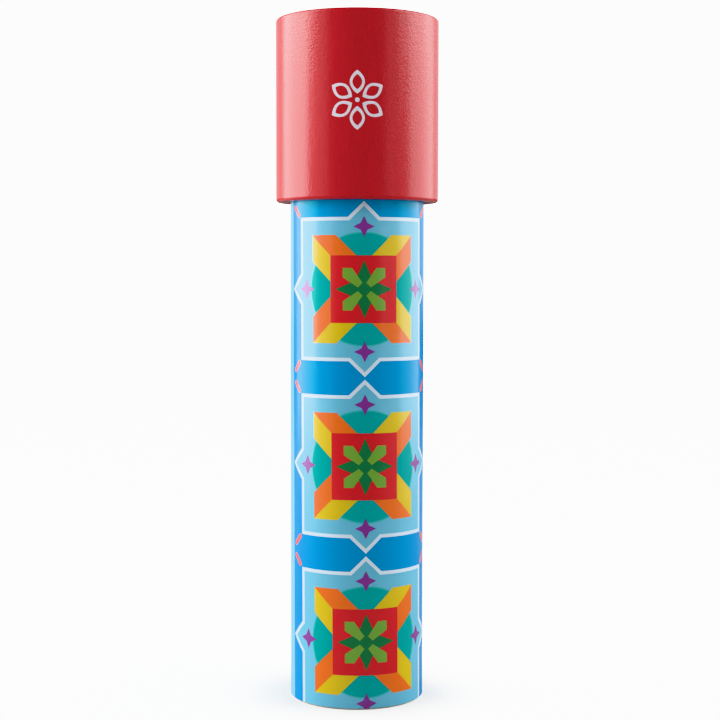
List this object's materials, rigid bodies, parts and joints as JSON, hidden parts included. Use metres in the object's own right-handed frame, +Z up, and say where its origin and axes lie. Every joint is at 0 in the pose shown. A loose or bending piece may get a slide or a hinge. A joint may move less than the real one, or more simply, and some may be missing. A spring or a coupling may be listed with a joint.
{
  "type": "kaleidoscope",
  "caption": "Straight toy kaleidoscope: paper-wrapped tube with a mirror prism and eyepiece, under a wider turning wooden cap that holds a cell of loose charms.",
  "frame": {"origin": "centre of the eyepiece plug's foot, the face that the kaleidoscope stands on", "axes": "+Z up along the tube's axis towards the cap; -Y faces the middle of one printed column, 7 degrees off"},
  "size_m": [0.054, 0.054, 0.225],
  "materials": {
    "red_wood": "satin stained and lacquered",
    "bare_wood": "sanded and waxed",
    "cardboard": "spiral wound, matte",
    "printed_paper": "printed, gloss laminated",
    "mirror_strip": "front-silvered",
    "black_card": "matte",
    "tape": "gummed paper tape",
    "foam": "open-cell foam",
    "black_plastic": "moulded matte",
    "clear_plastic": "clear",
    "frosted_plastic": "frosted, translucent",
    "felt": "pressed felt",
    "gasket_card": "matte card",
    "charm_yellow": "translucent gloss",
    "charm_pink": "translucent gloss",
    "charm_green": "translucent gloss",
    "charm_blue": "translucent gloss",
    "charm_orange": "translucent gloss",
    "charm_red": "translucent gloss",
    "charm_purple": "translucent gloss"
  },
  "bodies": {
    "tube_assembly": {"eyepiece_plug": "bare_wood", "eye_lens": "clear_plastic", "lens_retaining_ring": "black_plastic", "body_tube": "cardboard", "printed_wrap": "printed_paper", "mirror_holder": "black_plastic", "mirror_a": "mirror_strip", "mirror_b": "mirror_strip", "mirror_c": "mirror_strip", "backing_card_a": "black_card", "backing_card_b": "black_card", "backing_card_c": "black_card", "mirror_tape_bands": "tape", "lower_foam_pads": "foam", "upper_foam_pads": "foam", "bearing_collar": "black_plastic", "collar_window": "clear_plastic"},
    "turning_cap": {"cap_sleeve": "red_wood", "felt_washer": "felt", "cell_cup": "clear_plastic", "cell_diffuser": "frosted_plastic", "bezel_gasket": "gasket_card", "cap_bezel": "red_wood"},
    "inner_charms": {"star_charm": "charm_yellow", "seed_beads": "charm_pink"},
    "middle_charms": {"gem_beads": "charm_green", "bugle_beads": "charm_blue"},
    "outer_charms": {"ring_charms": "charm_orange", "triangle_charms": "charm_red", "round_beads": "charm_purple"}
  },
  "joints": [
    {"name": "cap_spin", "type": "hinge", "parent": "tube_assembly", "child": "turning_cap", "pos_m": [0, 0, 0.209], "axis": [0, 0, 1], "continuous": true},
    {"name": "inner_swirl", "type": "hinge", "parent": "turning_cap", "child": "inner_charms", "pos_m": [0, 0, 0.213], "axis": [0, 0, 1], "continuous": true},
    {"name": "middle_swirl", "type": "hinge", "parent": "turning_cap", "child": "middle_charms", "pos_m": [0, 0, 0.213], "axis": [0, 0, 1], "continuous": true},
    {"name": "outer_swirl", "type": "hinge", "parent": "turning_cap", "child": "outer_charms", "pos_m": [0, 0, 0.213], "axis": [0, 0, 1], "continuous": true}
  ]
}
